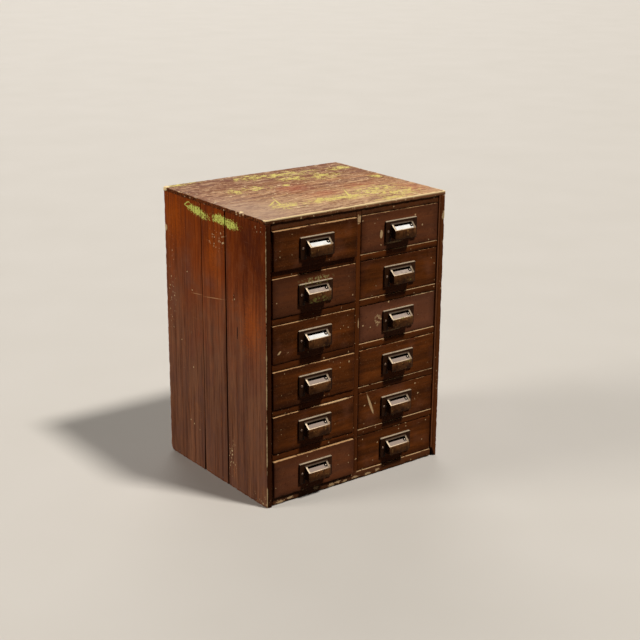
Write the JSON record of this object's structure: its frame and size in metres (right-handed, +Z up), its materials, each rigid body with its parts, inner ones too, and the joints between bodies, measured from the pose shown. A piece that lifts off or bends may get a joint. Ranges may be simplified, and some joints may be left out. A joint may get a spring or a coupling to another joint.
{
  "type": "watchmaker cabinet",
  "caption": "Free-standing stained wooden cabinet with columns of small sliding drawers, each with a hooded pressed-steel pull and a sloping label window.",
  "frame": {"origin": "middle of the underside, on the surface that the cabinet stands on", "axes": "+X to the right across the front, -Y out of the drawers towards the user, +Z up"},
  "size_m": [0.462, 0.4003, 0.604],
  "materials": {
    "stained_side": "worn satin stain",
    "worn_top": "worn stain",
    "stained_front": "satin stain",
    "stained_rail": "satin stain",
    "bare_wood": "bare softwood",
    "pressed_steel": "worn brown lacquer on steel",
    "white_card": "matt card",
    "grey_card": "aged card"
  },
  "bodies": {
    "case": {"top_boards": "worn_top", "left_side_boards": "stained_side", "right_side_boards": "stained_side", "side_liners": "stained_rail", "back_boards": "bare_wood", "bottom_board": "bare_wood", "centre_divider": "stained_rail", "front_rails": "stained_rail", "bottom_rail": "stained_rail", "drawer_runners": "bare_wood", "drawer_stops": "bare_wood"},
    "left_1_drawer": {"left_1_front": "stained_front", "left_1_box": "bare_wood", "left_1_pull": "pressed_steel", "left_1_card": "white_card"},
    "left_2_drawer": {"left_2_front": "stained_front", "left_2_box": "bare_wood", "left_2_pull": "pressed_steel", "left_2_card": "grey_card"},
    "left_3_drawer": {"left_3_front": "stained_front", "left_3_box": "bare_wood", "left_3_pull": "pressed_steel", "left_3_card": "white_card"},
    "left_4_drawer": {"left_4_front": "stained_front", "left_4_box": "bare_wood", "left_4_pull": "pressed_steel", "left_4_card": "grey_card"},
    "left_5_drawer": {"left_5_front": "stained_front", "left_5_box": "bare_wood", "left_5_pull": "pressed_steel", "left_5_card": "grey_card"},
    "left_6_drawer": {"left_6_front": "stained_front", "left_6_box": "bare_wood", "left_6_pull": "pressed_steel", "left_6_card": "grey_card"},
    "right_1_drawer": {"right_1_front": "stained_front", "right_1_box": "bare_wood", "right_1_pull": "pressed_steel", "right_1_card": "white_card"},
    "right_2_drawer": {"right_2_front": "stained_front", "right_2_box": "bare_wood", "right_2_pull": "pressed_steel", "right_2_card": "grey_card"},
    "right_3_drawer": {"right_3_front": "stained_front", "right_3_box": "bare_wood", "right_3_pull": "pressed_steel", "right_3_card": "grey_card"},
    "right_4_drawer": {"right_4_front": "stained_front", "right_4_box": "bare_wood", "right_4_pull": "pressed_steel", "right_4_card": "grey_card"},
    "right_5_drawer": {"right_5_front": "stained_front", "right_5_box": "bare_wood", "right_5_pull": "pressed_steel", "right_5_card": "grey_card"},
    "right_6_drawer": {"right_6_front": "stained_front", "right_6_box": "bare_wood", "right_6_pull": "pressed_steel", "right_6_card": "grey_card"}
  },
  "joints": [
    {"name": "left_1_slide", "type": "slide", "parent": "case", "child": "left_1_drawer", "axis": [0, -1, 0], "range_m": [-0.0078, 0.2322]},
    {"name": "left_2_slide", "type": "slide", "parent": "case", "child": "left_2_drawer", "axis": [0, -1, 0], "range_m": [-0.0035, 0.2365]},
    {"name": "left_3_slide", "type": "slide", "parent": "case", "child": "left_3_drawer", "axis": [0, -1, 0], "range_m": [-0.0027, 0.2373]},
    {"name": "left_4_slide", "type": "slide", "parent": "case", "child": "left_4_drawer", "axis": [0, -1, 0], "range_m": [-0.0043, 0.2357]},
    {"name": "left_5_slide", "type": "slide", "parent": "case", "child": "left_5_drawer", "axis": [0, -1, 0], "range_m": [-0.0035, 0.2365]},
    {"name": "left_6_slide", "type": "slide", "parent": "case", "child": "left_6_drawer", "axis": [0, -1, 0], "range_m": [-0.0062, 0.2338]},
    {"name": "right_1_slide", "type": "slide", "parent": "case", "child": "right_1_drawer", "axis": [0, -1, 0], "range_m": [-0.0018, 0.2382]},
    {"name": "right_2_slide", "type": "slide", "parent": "case", "child": "right_2_drawer", "axis": [0, -1, 0], "range_m": [-0.001, 0.239]},
    {"name": "right_3_slide", "type": "slide", "parent": "case", "child": "right_3_drawer", "axis": [0, -1, 0], "range_m": [-0.0002, 0.2398]},
    {"name": "right_4_slide", "type": "slide", "parent": "case", "child": "right_4_drawer", "axis": [0, -1, 0], "range_m": [-0.0018, 0.2382]},
    {"name": "right_5_slide", "type": "slide", "parent": "case", "child": "right_5_drawer", "axis": [0, -1, 0], "range_m": [-0.001, 0.239]},
    {"name": "right_6_slide", "type": "slide", "parent": "case", "child": "right_6_drawer", "axis": [0, -1, 0], "range_m": [-0.0002, 0.2398]}
  ]
}
